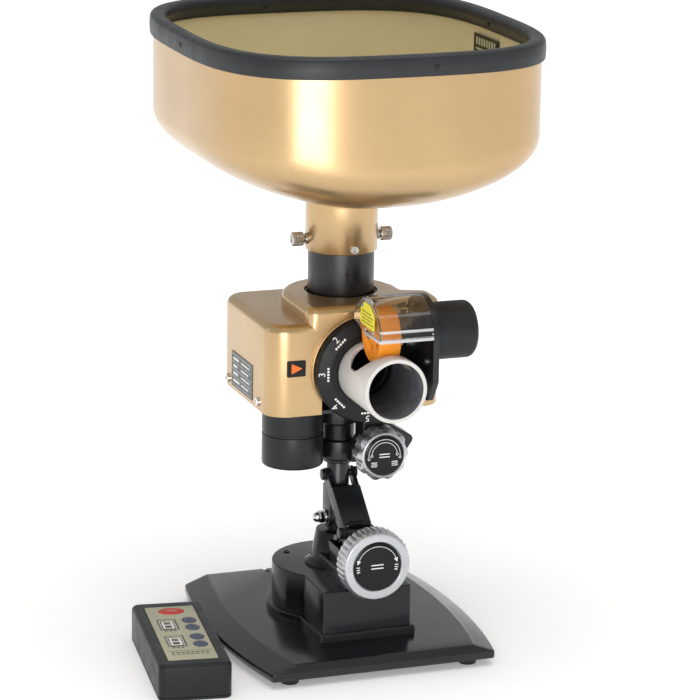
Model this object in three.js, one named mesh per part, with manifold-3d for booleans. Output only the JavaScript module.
// Table-tennis ball robot: a ball hopper on a swinging head, with a launcher that
// turns to eight spins, on a tilting mast, a heavy base and a wired control box.
// Millimetres, +Z up, the launcher faces -Y. The origin is on the flat cover under
// the base, below the mast; the rubber feet reach FOOT_HEIGHT lower.
import * as THREE from 'three';
import { mergeVertices } from 'three/addons/utils/BufferGeometryUtils.js';
import Module from 'manifold-3d';

const wasm = await Module();
wasm.setup();

// ---- driving dimensions ----
const GAP = 0.3; // play between pieces of one body
const PLAY = 0.5; // play between pieces that move on each other
const BALL_R = 20;
const FOOT_HEIGHT = 6;

const BASE = { halfX: 97, bulge: 13, halfY: 120, top: 14, edge: 6.5, slope: 18, wall: 3 };
const DRUM = { y: 9, r: 52, top: 56, flangeR: 56.5, flangeTop: 21, wall: 3 };
DRUM.socketFace = DRUM.y + DRUM.r + 1.5; // flat pad at the back, for the inlet and the switch
const BLOCK = { halfX: 38.5, front: -75, flange: 3.5 };
const ROCKER = { x0: 6.7, x1: 21.3, z: 33, halfZ: 6.8 };
const PIVOT = { y: 1, z: 97, boltR: 4, lugR: 8.5 };
const TONGUE_HALF = 5.8;
const FORK_HALF = 10;
const LINK = { topY: -2, topZ: 135, lowY: -46, lowZ: 96.5, inner: 10.5, outer: 12.5, pinR: 3 };
const LOOP = { z: 82.5, screwR: 4.5, knobR: 30, knobBack: -78, knobFace: -98 };
const MAST = { postR: 9.4, top: 146, collarR: 15.3, collarTop: 166, spindleR: 7.5, neckR: 10.8, flangeR: 18.5 };
const ANGLE = { x: 19, z: 165, knobR: 24, knobBack: -41, knobFace: -60, shaftR: 5 };

const HEAD = { left: -81, right: 70, front: -58, back: 70, floor: 204, low: 281, top: 294 };
HEAD.wall = 2.5;
HEAD.corner = 18; // radius of the upright corners
HEAD.turret = 49; // radius of the round platform under the hopper
const AXIS_Z = 241; // launch axis above the origin
const TUBE = { r: 26.5, wall: 2.2, front: -133, back: -62 };
const WHEEL_SLOT = { halfX: 24.5, front: -119, back: -76, corner: 20, above: 9 };
const DIAL = { r: 43.5, front: -70, back: -59 };
const WHEEL = { y: -97, z: 279, r: 23, half: 9, hubR: 18, shaftR: 3.2, motorR: 23.5, motorEnd: 77 };
const GUARD = { r: 32, wall: 2, left: -13, bottom: 270, rearBottom: 286 };
const PLATE = { left: 33, right: 38, back: -70.5, bottom: 226 };
const FEED = { x: -42.5, y: -5, canR: 25.8, canBottom: 149, starR: 31 };
const FEED_TUBE = { r: 27.5, wall: 2.5, bottom: 262.3, top: 370 };

const HOPPER = { halfX: 142, halfY: 159.5, power: 3.3, wall: 2.5, neckR: 30, neckBottom: 329 };
HOPPER.boreR = FEED_TUBE.r + 0.4;
HOPPER.screwZ = 339; // height of the two thumb screws
HOPPER.setScrewZ = 334;
HOPPER.shoulder = 379; // where the neck opens into the bowl
HOPPER.waistX = 438; // where the sloping sides become upright
HOPPER.waistY = 426; // where the fuller front and back become upright
HOPPER.top = 506;
const RIM = { grow: 2.8, inset: 9.5, bottom: 500, top: 517 };

const REMOTE = { x: -152, y: -44.6, yaw: -8, width: 60, length: 155, top: 24, wall: 2.5, corner: 7 };

// ---- materials ----
const finish = (color, roughness, metalness, extra = {}) =>
  new THREE.MeshStandardMaterial({ color, roughness, metalness, ...extra });
const GOLD = finish(0xc9a267, 0.35, 0.6);
const BLACK_GLOSS = finish(0x14161a, 0.3, 0.1);
const BLACK_MATT = finish(0x1c1d20, 0.65, 0.1);
const STEEL = finish(0xb8bbbf, 0.3, 0.9);
const SILVER = finish(0xc8cacc, 0.35, 0.8);
const WHITE = finish(0xe8e8e6, 0.4, 0);
const ORANGE = finish(0xf39a1e, 0.6, 0);
const RUBBER = finish(0x1a1a1a, 0.85, 0);
const CREAM = finish(0xcfc9a4, 0.5, 0);
const RED = finish(0xd8382c, 0.5, 0);
const BLUE_GREY = finish(0x56617c, 0.5, 0);
const GREEN = finish(0x1f5a36, 0.6, 0);
const COPPER = finish(0x8a5a3a, 0.5, 0.4);
const CLEAR = finish(0xdfe6ea, 0.05, 0, { transparent: true, opacity: 0.3 });

// ---- solid tools ----
function signedVolume(geometry) {
  const p = geometry.getAttribute('position');
  const index = geometry.getIndex();
  const [a, b, c] = [new THREE.Vector3(), new THREE.Vector3(), new THREE.Vector3()];
  let volume = 0;
  for (let i = 0; i < index.count; i += 3) {
    a.fromBufferAttribute(p, index.getX(i));
    b.fromBufferAttribute(p, index.getX(i + 1));
    c.fromBufferAttribute(p, index.getX(i + 2));
    volume += a.dot(b.cross(c)) / 6;
  }
  return volume;
}

// Merges the shared vertices and turns the faces outwards.
function closed(geometry) {
  geometry.deleteAttribute('normal');
  geometry.deleteAttribute('uv');
  const merged = mergeVertices(geometry, 1e-4);
  const index = merged.getIndex();
  if (signedVolume(merged) < 0) {
    for (let i = 0; i < index.count; i += 3) {
      const first = index.getX(i);
      index.setX(i, index.getX(i + 1));
      index.setX(i + 1, first);
    }
  }
  return merged;
}

function solid(geometry) {
  const merged = closed(geometry);
  const vertProperties = new Float32Array(merged.getAttribute('position').array);
  const triVerts = new Uint32Array(merged.getIndex().array);
  return new wasm.Manifold(new wasm.Mesh({ numProp: 3, vertProperties, triVerts }));
}

const join = (...parts) => parts.reduce((whole, part) => whole.add(part));
const cut = (part, ...tools) => tools.reduce((rest, tool) => rest.subtract(tool), part);
const common = (a, b) => a.intersect(b);

function box(x0, x1, y0, y1, z0, z1) {
  const shape = new THREE.BoxGeometry(x1 - x0, y1 - y0, z1 - z0);
  return solid(shape.translate((x0 + x1) / 2, (y0 + y1) / 2, (z0 + z1) / 2));
}

// A cylinder or cone along an axis; centre gives the other two coordinates in order.
function rod(axis, from, to, centre, r0, r1 = r0, sides = 20) {
  const shape = new THREE.CylinderGeometry(r1, r0, to - from, sides);
  const middle = (from + to) / 2;
  if (axis === 'x') return solid(shape.rotateZ(-Math.PI / 2).translate(middle, ...centre));
  if (axis === 'y') return solid(shape.translate(centre[0], middle, centre[1]));
  return solid(shape.rotateX(Math.PI / 2).translate(...centre, middle));
}

// A turned piece about the vertical through (x, y); the profile is [radius, height] pairs.
function turned(profile, x = 0, y = 0, sides = 24) {
  const points = profile.map(([r, z]) => new THREE.Vector2(r, z));
  return solid(new THREE.LatheGeometry(points, sides).rotateX(Math.PI / 2).translate(x, y, 0));
}

// A flat outline pulled along an axis. Outlines are drawn in (x, y), (x, z) or (y, z).
function slab(axis, shape, from, to, curveSegments = 6) {
  const piece = new THREE.ExtrudeGeometry(shape, { depth: to - from, bevelEnabled: false, curveSegments });
  if (axis === 'z') return solid(piece.translate(0, 0, from));
  if (axis === 'y') return solid(piece.rotateX(Math.PI / 2).translate(0, to, 0));
  return solid(piece.rotateX(Math.PI / 2).rotateZ(Math.PI / 2).translate(from, 0, 0));
}

const outline = (points) => new THREE.Shape(points.map(([u, v]) => new THREE.Vector2(u, v)));

function roundRect(u0, u1, v0, v1, r) {
  const s = new THREE.Shape();
  s.moveTo(u0 + r, v0).lineTo(u1 - r, v0).absarc(u1 - r, v0 + r, r, -Math.PI / 2, 0);
  s.lineTo(u1, v1 - r).absarc(u1 - r, v1 - r, r, 0, Math.PI / 2);
  s.lineTo(u0 + r, v1).absarc(u0 + r, v1 - r, r, Math.PI / 2, Math.PI);
  s.lineTo(u0, v0 + r).absarc(u0 + r, v0 + r, r, Math.PI, Math.PI * 1.5);
  return s;
}

// A bar with two round ends between two points.
function bar(u0, v0, u1, v1, r) {
  const turn = Math.atan2(v1 - v0, u1 - u0);
  const s = new THREE.Shape();
  s.absarc(u1, v1, r, turn - Math.PI / 2, turn + Math.PI / 2);
  s.absarc(u0, v0, r, turn + Math.PI / 2, turn + Math.PI * 1.5);
  return s;
}

function ellipse(u, v, ru, rv) {
  const s = new THREE.Shape();
  s.absellipse(u, v, ru, rv, 0, Math.PI * 2);
  return s;
}

// A round outline with waves in its edge, for a fluted or lobed knob.
function waves(u, v, r, depth, count, perWave = 4) {
  const points = [];
  const steps = count * perWave;
  for (let i = 0; i < steps; i++) {
    const turn = (i / steps) * Math.PI * 2;
    const radius = r - (depth * (1 - Math.cos(turn * count))) / 2;
    points.push([u + radius * Math.cos(turn), v + radius * Math.sin(turn)]);
  }
  return outline(points);
}

// A closed skin over rings of equal point counts, each ring at one height.
function loft(rings) {
  const count = rings[0].length;
  const positions = rings.flat().flatMap((p) => [p.x, p.y, p.z]);
  const index = [];
  for (let k = 0; k + 1 < rings.length; k++) {
    for (let i = 0; i < count; i++) {
      const a = k * count + i;
      const b = k * count + ((i + 1) % count);
      index.push(a, b, b + count, a, b + count, a + count);
    }
  }
  const flat = (ring) => ring.map((p) => new THREE.Vector2(p.x, p.y));
  const last = (rings.length - 1) * count;
  for (const [i, j, k] of THREE.ShapeUtils.triangulateShape(flat(rings[0]), [])) index.push(i, k, j);
  for (const [i, j, k] of THREE.ShapeUtils.triangulateShape(flat(rings.at(-1)), [])) {
    index.push(last + i, last + j, last + k);
  }
  const geometry = new THREE.BufferGeometry();
  geometry.setAttribute('position', new THREE.Float32BufferAttribute(positions, 3));
  geometry.setIndex(index);
  return solid(geometry);
}

function superellipse(halfX, halfY, z, power = HOPPER.power, count = 36) {
  const ring = [];
  for (let i = 0; i < count; i++) {
    const turn = (i / count) * Math.PI * 2;
    const c = Math.cos(turn);
    const s = Math.sin(turn);
    const scale = (Math.abs(c) ** power + Math.abs(s) ** power) ** (-1 / power);
    ring.push(new THREE.Vector3(halfX * c * scale, halfY * s * scale, z));
  }
  return ring;
}

const robot = new THREE.Group();

function place(name, material, body, parent = robot) {
  const { vertProperties, triVerts } = body.getMesh();
  const geometry = new THREE.BufferGeometry();
  geometry.setAttribute('position', new THREE.BufferAttribute(new Float32Array(vertProperties), 3));
  geometry.setIndex(new THREE.BufferAttribute(new Uint32Array(triVerts), 1));
  geometry.computeVertexNormals();
  const mesh = new THREE.Mesh(geometry, material);
  mesh.name = name;
  parent.add(mesh);
}

// ---- base ----
// One ring of the base: straight front and back, sides that bow out.
function baseRing(inset, endInset, z, count = 14) {
  const radius = (BASE.halfY ** 2 + BASE.bulge ** 2) / (2 * BASE.bulge);
  const halfY = BASE.halfY - endInset;
  const side = [];
  for (let i = 0; i <= count; i++) {
    const y = -halfY + (2 * halfY * i) / count;
    const x = BASE.halfX + BASE.bulge - radius + Math.sqrt(radius ** 2 - y ** 2) - inset;
    side.push(new THREE.Vector3(x, y, z));
  }
  const mirrored = side.map((p) => new THREE.Vector3(-p.x, -p.y, z));
  return [...side, ...mirrored];
}

function basePlate() {
  const { top, edge, slope, wall } = BASE;
  const outer = loft([baseRing(1, 1, 0), baseRing(0, 0, 1), baseRing(0, 0, edge),
    baseRing(slope, 0, top - 1), baseRing(slope + 1, 1.5, top)]);
  const pocket = box(-70 - GAP, 70 + GAP, -90 - GAP, 90 + GAP, -1, 2 + GAP);
  const cavity = box(-64, 64, -84, 84, 1, top - wall);
  const wireHole = rod('z', top - wall - 1, top + 1, [0, DRUM.y], 36);
  return cut(outer, pocket, cavity, wireHole);
}

function baseHousing() {
  const { y, r, top, flangeR, flangeTop } = DRUM;
  const { halfX, front, flange } = BLOCK;
  const { wall, socketFace } = DRUM;
  const foot = join(rod('z', BASE.top, flangeTop, [0, y], flangeR, flangeR, 32),
    box(-halfX - flange, halfX + flange, front - flange, y, BASE.top, flangeTop));
  const body = join(rod('z', BASE.top, top, [0, y], r, r, 32), box(-halfX, halfX, front, y, BASE.top, top));
  const socketPad = box(-27, 27, y, socketFace, BASE.top, 48);
  const hollow = join(rod('z', BASE.top - 1, top - wall, [0, y], r - wall, r - wall, 32),
    box(-halfX + wall, halfX - wall, front + wall, y, BASE.top - 1, top - wall));
  const inletHole = box(-23, -1, socketFace - 13.5, socketFace + 6.5, 25, 41);
  const switchHole = box(6, 22, socketFace - 13.5, socketFace + 6.5, 25, 41);
  const mountHole = rod('z', top - wall - 1, top + 1, [0, PIVOT.y], 12);
  return cut(join(foot, body, socketPad), hollow, inletHole, switchHole, mountHole);
}

function powerInlet() {
  const face = DRUM.socketFace;
  const well = box(-22.6, -1.4, face - 16, face + 1, 25.4, 40.6);
  const flange = box(-25, 1, face + GAP, face + 2, 23, 43);
  return cut(join(well, flange), box(-19.5, -4.5, face - 10, face + 3, 28.5, 37.5));
}

// The rocker turns about a line just behind the housing's face.
function powerSwitch() {
  const face = DRUM.socketFace;
  const { x0, x1, z, halfZ } = ROCKER;
  const key = box(x0, x1, face - 12, face + 1.6, z - halfZ, z + halfZ);
  return common(key, rod('x', x0 - 1, x1 + 1, [face - 9, z], 11));
}

// ---- pedestal, mast and the loop screw ----
function pedestal() {
  const z = DRUM.top;
  const cone = turned([[0, z], [27, z], [27, z + 2], [22, z + 5], [17.5, 86], [0, 86]], 0, PIVOT.y);
  const tongue = join(box(-TONGUE_HALF, TONGUE_HALF, PIVOT.y - PIVOT.lugR, PIVOT.y + PIVOT.lugR, 85, PIVOT.z),
    rod('x', -TONGUE_HALF, TONGUE_HALF, [PIVOT.y, PIVOT.z], PIVOT.lugR));
  const ledge = box(-19, 19, -71, -8, z, 69);
  const walls = box(-13, 13, -71, -8, 68, 81);
  const boss = rod('y', -71, -64, [0, LOOP.z], 10.5);
  const channel = box(-10, 10, -64, -22, 71, 100);
  const bore = rod('y', -64, -14, [0, LOOP.z], LOOP.screwR + PLAY);
  const bushSeat = rod('y', -72, -63.9, [0, LOOP.z], 8 + GAP);
  const boltHole = rod('x', -9, 9, [PIVOT.y, PIVOT.z], PIVOT.boltR + PLAY);
  return cut(join(cone, tongue, ledge, walls, boss), channel, bore, bushSeat, boltHole);
}

function loopNut() {
  const { lowY, lowZ, pinR } = LINK;
  const body = box(-9.5, 9.5, lowY - 7, lowY + 7, 73, 91);
  const lug = join(box(-9.5, 9.5, lowY - 5, lowY + 5, 90, lowZ), rod('x', -9.5, 9.5, [lowY, lowZ], 5));
  const slot = slab('x', bar(lowY, lowZ - 0.5, lowY, lowZ + 0.5, pinR + 0.9), -10, 10);
  return cut(join(body, lug), slot, rod('y', lowY - 9, lowY + 9, [0, LOOP.z], LOOP.screwR + PLAY));
}

function loopLink() {
  const { topY, topZ, lowY, lowZ, inner, outer, pinR } = LINK;
  const length = Math.hypot(topY - lowY, topZ - lowZ);
  const along = [(lowY - topY) / length, (lowZ - topZ) / length];
  const out = [along[1], -along[0]];
  const at = (u, n) => [topY + along[0] * u + out[0] * n, topZ + along[1] * u + out[1] * n];
  const side = join(slab('x', bar(topY, topZ, lowY, lowZ, 5.6), -outer, outer),
    slab('x', outline([at(16, 0), at(length, 0), at(length, 7.4), at(18, 7.4)]), -outer, outer));
  const between = (u0, u1, n0, n1) => slab('x', outline([at(u0, n0), at(u1, n0), at(u1, n1), at(u0, n1)]),
    -inner, inner);
  const inside = between(-9, length + 9, -9, 5.4);
  const ends = join(between(-9, 16, 0, 12), between(length - 4, length + 9, 0, 12));
  const holes = [[topY, topZ], [lowY, lowZ]].map((p) => rod('x', -outer - 1, outer + 1, p, pinR + GAP));
  return cut(side, inside, ends, ...holes);
}

function linkPin(y, z) {
  const { outer, pinR } = LINK;
  const headR = 4.8;
  const shank = rod('x', -outer - 3, outer + 3, [y, z], pinR);
  const heads = [[-outer - 3, -outer - GAP], [outer + GAP, outer + 3]];
  return join(shank, ...heads.map(([from, to]) => rod('x', from, to, [y, z], headR)));
}

function mastFork() {
  const block = box(-FORK_HALF, FORK_HALF, -6, PIVOT.y + PIVOT.lugR, PIVOT.z, 124);
  const cheeks = rod('x', -FORK_HALF, FORK_HALF, [PIVOT.y, PIVOT.z], PIVOT.lugR);
  const post = rod('z', 108, MAST.top, [0, 0], MAST.postR);
  const slot = box(-TONGUE_HALF - PLAY, TONGUE_HALF + PLAY, -20, 20, 80, PIVOT.z + PIVOT.lugR + 2);
  const boltHole = rod('x', -13, 13, [PIVOT.y, PIVOT.z], PIVOT.boltR + GAP);
  const pinHole = rod('x', -13, 13, [LINK.topY, LINK.topZ], LINK.pinR + PLAY);
  return cut(join(block, cheeks, post), slot, boltHole, pinHole);
}

function pivotBolt() {
  const head = rod('x', FORK_HALF + GAP, FORK_HALF + 5, [PIVOT.y, PIVOT.z], 7, 7, 6);
  return join(head, rod('x', -FORK_HALF - 6, FORK_HALF + 1, [PIVOT.y, PIVOT.z], PIVOT.boltR));
}

function acornNut() {
  const inner = -FORK_HALF - GAP;
  const centre = [PIVOT.y, PIVOT.z];
  const washer = rod('x', inner - 1.5, inner, centre, 7.5);
  const hex = rod('x', inner - 6, inner - 1, centre, 6.8, 6.8, 6);
  const dome = solid(new THREE.SphereGeometry(5.2, 12, 8).translate(inner - 6.5, ...centre));
  return cut(join(washer, hex, dome), rod('x', inner - 7, 0, centre, PIVOT.boltR + GAP));
}

function swingCollar() {
  const ring = rod('z', MAST.top, MAST.collarTop, [0, 0], MAST.collarR);
  return cut(ring, rod('z', MAST.top - 1, MAST.collarTop + 1, [0, 0], MAST.spindleR + PLAY));
}

function angleBracket() {
  const { x, z } = ANGLE;
  const front = -38;
  const plan = [[8, 149], [30, 149], [46, 160], [54, 172], [16, 195], [8, 190]];
  const web = slab('y', outline(plan), front, -17);
  const hub = rod('y', front, -14, [x, z], 14);
  const clamp = box(5, 20, -20, -4, 149, 164);
  const neckRoom = rod('z', MAST.collarTop - 1, 200, [0, 0], MAST.flangeR + 1.5);
  const collarRoom = rod('z', 140, MAST.collarTop, [0, 0], MAST.collarR + GAP);
  const bore = rod('y', front - 1, -20, [x, z], ANGLE.shaftR + PLAY);
  return cut(join(web, hub, clamp), neckRoom, collarRoom, bore);
}

function knob(x, z, back, face, shape, discR, boreR) {
  const body = slab('y', shape, face, back);
  const recess = rod('y', face - 1, face + 2, [x, z], discR + GAP, discR + GAP, 28);
  return cut(body, recess, rod('y', face + 6, back + 1, [x, z], boreR + GAP));
}

// ---- head ----
function headFootprint(inset) {
  const { left, right, front, back, corner } = HEAD;
  return roundRect(left + inset, right - inset, front + inset, back - inset, corner - inset);
}

function headPlatform(inset) {
  const r = HEAD.turret - inset;
  const s = new THREE.Shape();
  s.moveTo(-r, HEAD.front).lineTo(HEAD.right, HEAD.front).lineTo(HEAD.right, -20).lineTo(r, -12);
  s.absarc(0, 0, r, 0, Math.PI);
  return s;
}

function headCover() {
  const { floor, low, top, wall, front } = HEAD;
  const shell = (inset, z0, z1, z2) => {
    const [plan, platform] = [headFootprint(inset), headPlatform(inset)];
    const upper = common(slab('z', plan, z1 - 1, z2), slab('z', platform, z1 - 1, z2));
    return join(slab('z', plan, z0, z1), upper);
  };
  const outer = shell(0, floor, low, top);
  const inner = shell(wall, floor - 1, low - wall, top - wall);
  const bossR = DIAL.r + 4;
  const recessR = DIAL.r + PLAY + GAP;
  const dialRing = rod('y', front - 4, front + 1, [0, AXIS_Z], bossR, bossR, 32);
  const dialBoss = common(dialRing, box(-60, 60, front - 5, front + 2, floor, low));
  const dialRecess = rod('y', front - 5, front + 0.5, [0, AXIS_Z], recessR, recessR, 32);
  const ballHole = rod('y', front - 5, front + 5, [0, AXIS_Z], 33);
  const notch = box(-36, 50, front - 5, front + 10, floor - 1, AXIS_Z - 12);
  const tubeHole = rod('z', low - 10, top + 1, [0, 0], 30.5, 30.5, 28);
  return cut(join(cut(outer, inner), dialBoss), dialRecess, ballHole, notch, tubeHole);
}

function headFloor() {
  const { floor, wall } = HEAD;
  const plate = slab('z', headFootprint(wall + GAP), floor, floor + 3);
  return cut(plate, rod('z', floor - 1, floor + 4, [FEED.x, FEED.y], 6));
}

function swingSpindle() {
  const { spindleR, neckR, flangeR, collarTop } = MAST;
  const neck = collarTop + PLAY;
  const flange = [[neckR, 180], [flangeR, 182], [flangeR, 194], [16, 196], [16, HEAD.floor]];
  const spindle = [[0, 150], [spindleR, 150], [spindleR, neck], [neckR, neck], ...flange, [0, HEAD.floor]];
  return cut(turned(spindle), rod('z', 175, HEAD.floor + 1, [FEED.x, FEED.y], FEED.canR + GAP));
}

function ballChamber() {
  const top = FEED_TUBE.bottom - GAP;
  const block = box(-25.5, 25.5, -54.5, 25.5, HEAD.floor + 3, top);
  const bore = BALL_R + 1.5;
  const bowl = solid(new THREE.SphereGeometry(bore, 20, 12).translate(0, 0, AXIS_Z));
  const drop = join(rod('z', AXIS_Z, top + 1, [0, 0], bore), bowl);
  const exit = rod('y', -60, 0, [0, AXIS_Z], bore);
  const starRoom = rod('z', AXIS_Z - 7, AXIS_Z + 7, [FEED.x, FEED.y], FEED.starR + 1);
  return cut(block, drop, exit, starRoom);
}

function feedWheel() {
  const { x, y, starR } = FEED;
  const hub = rod('z', AXIS_Z - 12, AXIS_Z + 12, [x, y], 9);
  const shaft = rod('z', HEAD.floor - 0.5, AXIS_Z - 11, [x, y], 4);
  const fingers = [60, 180, 300].map((degrees) => {
    const turn = THREE.MathUtils.degToRad(degrees);
    const tip = [x + (starR - 5) * Math.cos(turn), y + (starR - 5) * Math.sin(turn)];
    return slab('z', bar(x, y, ...tip, 5), AXIS_Z - 5.5, AXIS_Z + 5.5);
  });
  return join(hub, shaft, ...fingers);
}

function feedMotorCover() {
  const { x, y, canR, canBottom } = FEED;
  const groove = [[canR, 176], [canR - 0.8, 176.5], [canR - 0.8, 178], [canR, 178.5]];
  const inside = [[canR - 2.5, HEAD.floor], [canR - 2.5, canBottom + 3], [0, canBottom + 3]];
  return turned([[0, canBottom], [canR - 2, canBottom], [canR, canBottom + 2], ...groove,
    [canR, HEAD.floor], ...inside], x, y);
}

function feedMotor() {
  const { x, y, canBottom } = FEED;
  return join(rod('z', canBottom + 4, 188, [x, y], 18), rod('z', 187, 202, [x, y], 22));
}

function feedTube() {
  const { r, wall, bottom, top } = FEED_TUBE;
  const bore = rod('z', bottom - 1, top + 1, [0, 0], r - wall, r - wall, 28);
  return cut(rod('z', bottom, top, [0, 0], r, r, 28), bore);
}

// ---- launcher ----
function spinDial() {
  const { r, front, back } = DIAL;
  const axis = [0, AXIS_Z];
  const plate = rod('y', front + 2.5, back, axis, r, r, 32);
  const face = rod('y', front, front + 3, axis, 33, r - 1, 32);
  const spigot = rod('y', back - 1, back + 4, axis, 31);
  const tubeSeat = rod('y', front - 1, TUBE.back, axis, TUBE.r + GAP, TUBE.r + GAP, 28);
  return cut(join(plate, face, spigot), tubeSeat, rod('y', front - 1, back + 6, axis, BALL_R + 2));
}

function launchTube() {
  const { r, wall, front, back } = TUBE;
  const outside = rod('y', front, back - GAP, [0, AXIS_Z], r, r, 28);
  const bore = rod('y', front - 1, back + 1, [0, AXIS_Z], r - wall, r - wall, 28);
  const { halfX, corner, above } = WHEEL_SLOT;
  const plan = roundRect(-halfX, halfX, WHEEL_SLOT.front, WHEEL_SLOT.back, corner);
  return cut(outside, bore, slab('z', plan, AXIS_Z + above, AXIS_Z + 2 * r));
}

function motorPlate() {
  const { y, z } = WHEEL;
  const s = new THREE.Shape();
  const r = GUARD.r - 0.5;
  const { back, bottom } = PLATE;
  s.moveTo(back, bottom + 1).lineTo(back, z - 4).absarc(y, z, r, -0.12, Math.PI, false);
  s.lineTo(y - r, bottom + 18).lineTo(y - r + 11.5, bottom);
  const shaftHole = rod('x', PLATE.left - 1, PLATE.right + 1, [y, z], 6);
  return cut(slab('x', s, PLATE.left, PLATE.right, 24), shaftHole);
}

function wheelMotor() {
  const { y, z, motorR, motorEnd } = WHEEL;
  const can = rod('x', PLATE.right + GAP, motorEnd - 4, [y, z], motorR);
  const end = rod('x', motorEnd - 4.1, motorEnd, [y, z], motorR, motorR - 4);
  return cut(join(can, end), rod('x', PLATE.right, 60, [y, z], WHEEL.shaftR + PLAY));
}

function wheelGuard() {
  const { y, z } = WHEEL;
  const { r, wall, left, bottom, rearBottom } = GUARD;
  const right = PLATE.left - GAP;
  const room = rod('x', left + wall, right + 1, [y, z], r - wall, r - wall, 32);
  const drum = cut(rod('x', left, right, [y, z], r, r, 32), room);
  const far = 2 * r;
  const plan = [[y - far, z - far], [y + far, z - far], [y + far, rearBottom], [y + 25, rearBottom],
    [y + 5, bottom], [y - far, bottom]];
  return cut(drum, slab('x', outline(plan), left - 1, right + 1));
}

function wheelHub() {
  const { y, z, half, hubR, shaftR } = WHEEL;
  return join(rod('x', -half, half, [y, z], hubR), rod('x', half - 1, 55, [y, z], shaftR));
}

function wheelTyre() {
  const { y, z, r, half } = WHEEL;
  const seatR = WHEEL.hubR + GAP;
  const seat = rod('x', -half - 1, half + 1, [y, z], seatR, seatR, 32);
  return cut(rod('x', -half, half, [y, z], r, r, 32), seat);
}

// ---- hopper ----
// The bowl's ring at a height: the sides slope in, the front and back stay fuller.
function bowlRing(z, inset) {
  const { halfX, halfY, shoulder, waistX, waistY, neckR, power } = HOPPER;
  const spread = (waist, fullness) => {
    const rise = THREE.MathUtils.clamp((z - shoulder) / (waist - shoulder), 0, 1);
    return (1 - (1 - rise) ** 2) ** (1 / fullness);
  };
  const spreadX = spread(waistX, 1.15);
  const sizeX = neckR + (halfX - neckR) * spreadX - inset;
  const sizeY = neckR + (halfY - neckR) * spread(waistY, 2.6) - inset;
  return superellipse(sizeX, sizeY, z, 2 + (power - 2) * spreadX ** 0.4);
}

function bowl(inset, bottom, top) {
  const { shoulder, waistX } = HOPPER;
  const steps = [0, 0.03, 0.1, 0.22, 0.4, 0.62, 0.82, 1];
  const rings = [bowlRing(shoulder, inset).map((p) => p.clone().setZ(bottom))];
  for (const step of steps) {
    const z = shoulder + (waistX - shoulder) * step;
    rings.push(bowlRing(z, inset).map((p) => p.clone().setZ(z + inset * (1 - step))));
  }
  rings.push(bowlRing(top, inset));
  return loft(rings);
}

function hopperShell() {
  const { wall, neckR, neckBottom, shoulder, top } = HOPPER;
  const outside = join(bowl(0, shoulder - 2, top), rod('z', neckBottom, shoulder, [0, 0], neckR, neckR, 36));
  const { boreR, screwZ, setScrewZ } = HOPPER;
  const bore = rod('z', neckBottom - 1, shoulder, [0, 0], boreR, boreR, 36);
  const inside = join(bowl(wall, shoulder - 2, top + 1), bore);
  const screwHoles = rod('x', -40, 40, [0, screwZ], 2.5 + PLAY);
  const setScrewHole = rod('y', -40, 0, [0, setScrewZ], 2 + PLAY);
  return cut(outside, inside, screwHoles, setScrewHole);
}

function hopperRim() {
  const { halfX, halfY, wall, top } = HOPPER;
  const { grow, inset, bottom } = RIM;
  const ring = (offset, z) => superellipse(halfX + offset, halfY + offset, z);
  const outside = loft([ring(grow - 2, bottom), ring(grow, bottom + 2), ring(grow, RIM.top - 3),
    ring(grow - 3, RIM.top)]);
  const inside = loft([ring(-inset, bottom - 1), ring(-inset, RIM.top - 3), ring(-inset + 4, RIM.top + 1)]);
  const island = loft([ring(-wall - GAP, bottom - 2), ring(-wall - GAP, top + 1)]);
  const groove = cut(loft([ring(GAP, bottom - 1), ring(GAP, top + GAP)]), island);
  return cut(outside, inside, groove);
}

function thumbScrew(side) {
  const stage = (from, to, r) => {
    const [x0, x1] = side < 0 ? [-to, -from] : [from, to];
    return rod('x', x0, x1, [0, HOPPER.screwZ], r, r, 20);
  };
  return join(stage(HOPPER.boreR, 36, 2.5), stage(30.5, 32.5, 4), stage(34, 43.5, 5.8));
}

function neckScrew() {
  const { neckR, boreR, setScrewZ } = HOPPER;
  const head = rod('y', -neckR - 3.2, -neckR - GAP, [0, setScrewZ], 3.6, 3.6, 20);
  const shank = rod('y', -neckR - 1, -boreR, [0, setScrewZ], 2, 2, 16);
  const socket = rod('y', -neckR - 10, -neckR - 1.2, [0, setScrewZ], 1.6, 1.6, 6);
  return cut(join(head, shank), socket);
}

// ---- control box ----
const remote = new THREE.Group();
remote.position.set(REMOTE.x, REMOTE.y, 0);
remote.rotation.z = THREE.MathUtils.degToRad(REMOTE.yaw);
robot.add(remote);

const BUTTONS = {
  button_power: { x: 0.5, y: 52, rx: 10.8, ry: 8, material: RED },
  button_speed_up: { x: 11.5, y: 28, rx: 5.8, ry: 7.5, material: BLUE_GREY },
  button_speed_down: { x: 11.5, y: 10.5, rx: 5.8, ry: 7.5, material: BLUE_GREY },
  button_rate_up: { x: 11.5, y: -12.5, rx: 5.8, ry: 7.5, material: BLUE_GREY },
  button_rate_down: { x: 11.5, y: -30, rx: 5.8, ry: 7.5, material: BLUE_GREY },
};
const DISPLAYS = { display_top: { x: -7.5, y: 19.5 }, display_bottom: { x: -7.5, y: -21 } };
const DISPLAY = { halfX: 6.8, halfY: 11.8 };
const PANEL = { halfX: 20.5, halfY: 64, thick: 1.2 };

// Holes for the buttons and the displays, between two heights.
function controlHoles(from, to) {
  const wells = Object.values(BUTTONS).map((b) => {
    const plan = ellipse(b.x, b.y, b.rx + PLAY, b.ry + PLAY);
    return slab('z', plan, from, to);
  });
  const halfX = DISPLAY.halfX + GAP;
  const halfY = DISPLAY.halfY + GAP;
  const windows = Object.values(DISPLAYS).map((d) => box(d.x - halfX, d.x + halfX,
    d.y - halfY, d.y + halfY, from, to));
  return [...wells, ...windows];
}

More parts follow.
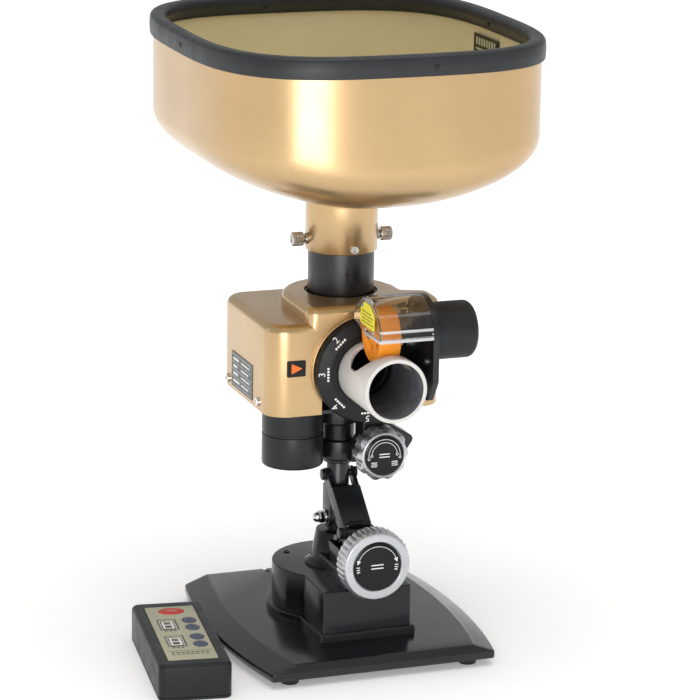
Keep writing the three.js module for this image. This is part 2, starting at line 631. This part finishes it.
function remotePlan() {
  const { width, length, corner } = REMOTE;
  return roundRect(-width / 2, width / 2, -length / 2, length / 2, corner);
}

function remoteCase() {
  const { top, wall, width, length } = REMOTE;
  const bottom = -FOOT_HEIGHT + 2.5;
  const outer = slab('z', remotePlan(), bottom, top, 5);
  const w = width / 2 - wall;
  const l = length / 2 - wall;
  const hollow = box(-w, w, -l, l, bottom - 1, top - 3);
  const [halfX, halfY] = [PANEL.halfX + GAP, PANEL.halfY + GAP];
  const panelSeat = box(-halfX, halfX, -halfY, halfY, top - PANEL.thick, top + 1);
  const socket = box(width / 2 - wall - 1, width / 2 + 1, -12, -2, 3, 13);
  return cut(outer, hollow, panelSeat, socket, ...controlHoles(top - 4, top));
}

function remoteBack() {
  const { width, length, wall } = REMOTE;
  const floor = -FOOT_HEIGHT;
  const plate = slab('z', remotePlan(), floor, floor + 2.2, 5);
  const [x, y] = [width / 2 - wall - PLAY, length / 2 - wall - PLAY];
  const lipRoom = box(2 - x, x - 2, 2 - y, y - 2, floor + 2.2, floor + 5);
  const lip = cut(box(-x, x, -y, y, floor + 2, floor + 4.5), lipRoom);
  return join(plate, lip);
}

function remotePanel() {
  const { top } = REMOTE;
  const z0 = top - PANEL.thick + 0.2;
  const sheet = box(-PANEL.halfX, PANEL.halfX, -PANEL.halfY, PANEL.halfY, z0, top + 0.4);
  return cut(sheet, ...controlHoles(z0 - 1, top + 1));
}

function placeRemote() {
  const { top } = REMOTE;
  place('remote_case', BLACK_MATT, remoteCase(), remote);
  place('remote_back', BLACK_MATT, remoteBack(), remote);
  place('remote_panel', CREAM, remotePanel(), remote);
  place('remote_board', GREEN, box(-25, 25, -60, 60, 8, 9.6), remote);
  for (const [name, d] of Object.entries(DISPLAYS)) {
    const { halfX, halfY } = DISPLAY;
    place(name, BLACK_GLOSS, box(d.x - halfX, d.x + halfX, d.y - halfY, d.y + halfY, 9.9, top), remote);
  }
  for (const [name, b] of Object.entries(BUTTONS)) {
    place(name, b.material, slab('z', ellipse(b.x, b.y, b.rx, b.ry), 14, top + 1), remote);
  }
}

// ---- assembly ----
function placeBase() {
  place('base_plate', BLACK_GLOSS, basePlate());
  place('base_cover', BLACK_MATT, box(-70, 70, -90, 90, 0, 2));
  for (const [name, x, y] of [['foot_front_left', -78, -106], ['foot_front_right', 78, -106],
    ['foot_rear_left', -78, 106], ['foot_rear_right', 78, 106]]) {
    place(name, RUBBER, rod('z', -FOOT_HEIGHT, 0, [x, y], 7.5, 8.5, 24));
  }
  place('base_housing', BLACK_GLOSS, baseHousing());
  place('control_board', GREEN, box(-32, 32, -60, -12, 16, 17.6));
  place('transformer', COPPER, box(-22, 22, -6, 34, 16, 48));
  place('power_inlet', BLACK_MATT, powerInlet());
  place('power_switch', BLACK_MATT, powerSwitch());
  place('pedestal', BLACK_GLOSS, pedestal());
}

function placeLoopDrive() {
  const { z, screwR, knobR, knobBack, knobFace } = LOOP;
  const bush = cut(rod('y', -71, -64, [0, z], 8), rod('y', -72, -63, [0, z], screwR + PLAY));
  place('screw_bush', COPPER, bush);
  place('loop_screw', STEEL, rod('y', knobFace + 6.5, -15, [0, z], screwR));
  place('loop_knob', SILVER, knob(0, z, knobBack, knobFace, waves(0, z, knobR, 1, 24, 2), 23, screwR));
  place('loop_knob_disc', BLACK_GLOSS, rod('y', knobFace + 0.4, knobFace + 1.8, [0, z], 23, 23, 28));
  place('loop_nut', STEEL, loopNut());
  place('loop_link', BLACK_MATT, loopLink());
  place('link_pin_top', STEEL, linkPin(LINK.topY, LINK.topZ));
  place('link_pin_bottom', STEEL, linkPin(LINK.lowY, LINK.lowZ));
}

function placeMast() {
  place('mast_fork', BLACK_MATT, mastFork());
  place('pivot_bolt', STEEL, pivotBolt());
  place('acorn_nut', STEEL, acornNut());
  place('swing_collar', BLACK_MATT, swingCollar());
  place('angle_bracket', BLACK_MATT, angleBracket());
  const { x, z, knobR, knobBack, knobFace, shaftR } = ANGLE;
  place('angle_shaft', STEEL, rod('y', knobFace + 6.5, -21, [x, z], shaftR));
  place('angle_knob', SILVER, knob(x, z, knobBack, knobFace, waves(x, z, knobR, 3, 10, 4), 17, shaftR));
  place('angle_knob_disc', BLACK_GLOSS, rod('y', knobFace + 0.4, knobFace + 1.8, [x, z], 17, 17, 28));
}

function placeHead() {
  place('head_cover', GOLD, headCover());
  place('head_floor', BLACK_MATT, headFloor());
  place('swing_spindle', BLACK_MATT, swingSpindle());
  place('swing_motor', STEEL, rod('z', HEAD.floor + 3, 246, [44, 42], 15));
  place('ball_chamber', BLACK_MATT, ballChamber());
  place('feed_tube', BLACK_MATT, feedTube());
  place('feed_motor_cover', BLACK_MATT, feedMotorCover());
  place('feed_motor', STEEL, feedMotor());
  place('feed_wheel', WHITE, feedWheel());
}

function placeLauncher() {
  place('spin_dial', BLACK_MATT, spinDial());
  place('launch_tube', WHITE, launchTube());
  place('motor_plate', BLACK_MATT, motorPlate());
  place('wheel_motor', BLACK_MATT, wheelMotor());
  place('wheel_guard', CLEAR, wheelGuard());
  place('wheel_hub', WHITE, wheelHub());
  place('wheel_tyre', ORANGE, wheelTyre());
}

function placeHopper() {
  place('hopper_shell', GOLD, hopperShell());
  place('hopper_rim', RUBBER, hopperRim());
  place('thumb_screw_left', STEEL, thumbScrew(-1));
  place('thumb_screw_right', STEEL, thumbScrew(1));
  place('neck_screw', STEEL, neckScrew());
}

placeBase();
placeLoopDrive();
placeMast();
placeHead();
placeLauncher();
placeHopper();
placeRemote();

export default robot;
